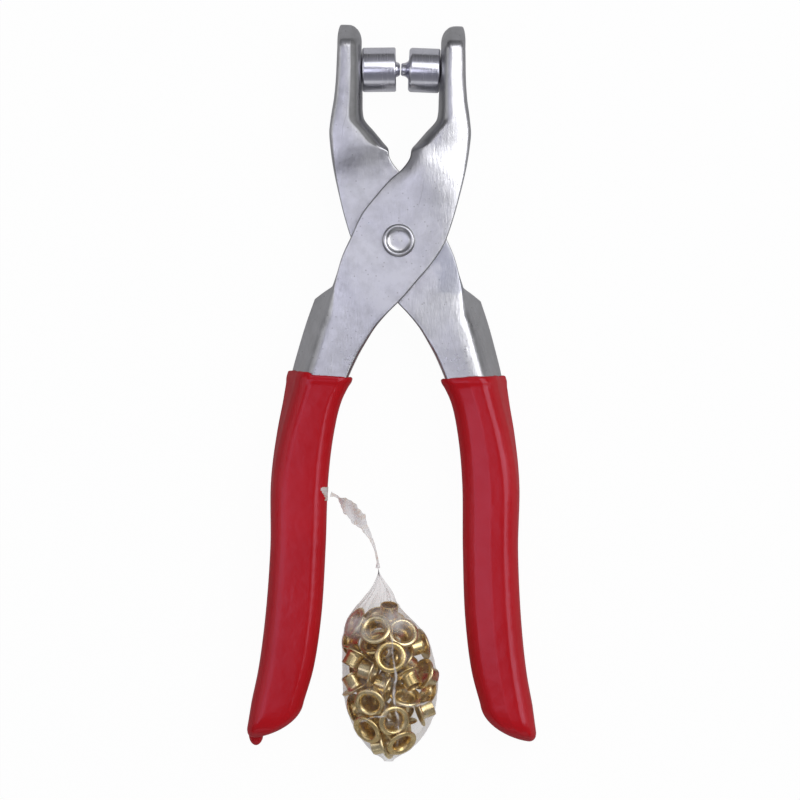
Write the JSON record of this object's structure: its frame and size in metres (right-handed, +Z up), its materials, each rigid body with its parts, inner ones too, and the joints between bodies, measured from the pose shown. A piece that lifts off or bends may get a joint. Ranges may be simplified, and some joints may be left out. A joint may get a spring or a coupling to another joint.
{
  "type": "eyelet pliers",
  "caption": "Crossed-arm eyelet setting pliers of pressed sheet steel with a pair of round dies, red dipped grips and a tied clear bag of brass eyelets.",
  "frame": {"origin": "on the surface the pliers lie on, under the middle of the whole object's box", "axes": "+Y from the grips towards the jaws, +Z up through the pivot from the back of the tool to its front, +X to the right as seen from the front; dies closed at rest"},
  "size_m": [0.0776, 0.1956, 0.0186],
  "materials": {
    "satin_steel": "satin nickel plate over pressed sheet steel",
    "polished_steel": "turned and polished",
    "red_vinyl": "gloss dipped vinyl",
    "brass": "bright stamped brass",
    "clear_film": "clear polythene film"
  },
  "bodies": {
    "back_side": {"back_arm": "satin_steel", "anvil_die": "polished_steel", "right_grip": "red_vinyl", "pivot_rivet": "satin_steel"},
    "front_side": {"front_arm": "satin_steel", "setter_die": "polished_steel", "left_grip": "red_vinyl", "tail_tab": "clear_film"},
    "bag": {"eyelet_bag": "clear_film", "bag_tail": "clear_film", "eyelet_01": "brass", "eyelet_02": "brass", "eyelet_03": "brass", "eyelet_04": "brass", "eyelet_05": "brass", "eyelet_06": "brass", "eyelet_07": "brass", "eyelet_08": "brass", "eyelet_09": "brass", "eyelet_10": "brass", "eyelet_11": "brass", "eyelet_12": "brass", "eyelet_13": "brass", "eyelet_14": "brass", "eyelet_15": "brass", "eyelet_16": "brass", "eyelet_17": "brass", "eyelet_18": "brass", "eyelet_19": "brass", "eyelet_20": "brass", "eyelet_21": "brass", "eyelet_22": "brass", "eyelet_23": "brass", "eyelet_24": "brass", "eyelet_25": "brass", "eyelet_26": "brass", "eyelet_27": "brass", "eyelet_28": "brass", "eyelet_29": "brass", "eyelet_30": "brass", "eyelet_31": "brass", "eyelet_32": "brass", "eyelet_33": "brass", "eyelet_34": "brass", "eyelet_35": "brass"}
  },
  "joints": [
    {"name": "pivot", "type": "hinge", "parent": "back_side", "child": "front_side", "pos_m": [0, 0.04045, 0.0128], "axis": [0, 0, -1], "range_deg": [0, 25]},
    {"name": "bag_swing", "type": "hinge", "parent": "front_side", "child": "bag", "pos_m": [-0.0172, -0.02755, 0.0093], "axis": [0, 0, 1], "range_deg": [-6, 8]}
  ]
}
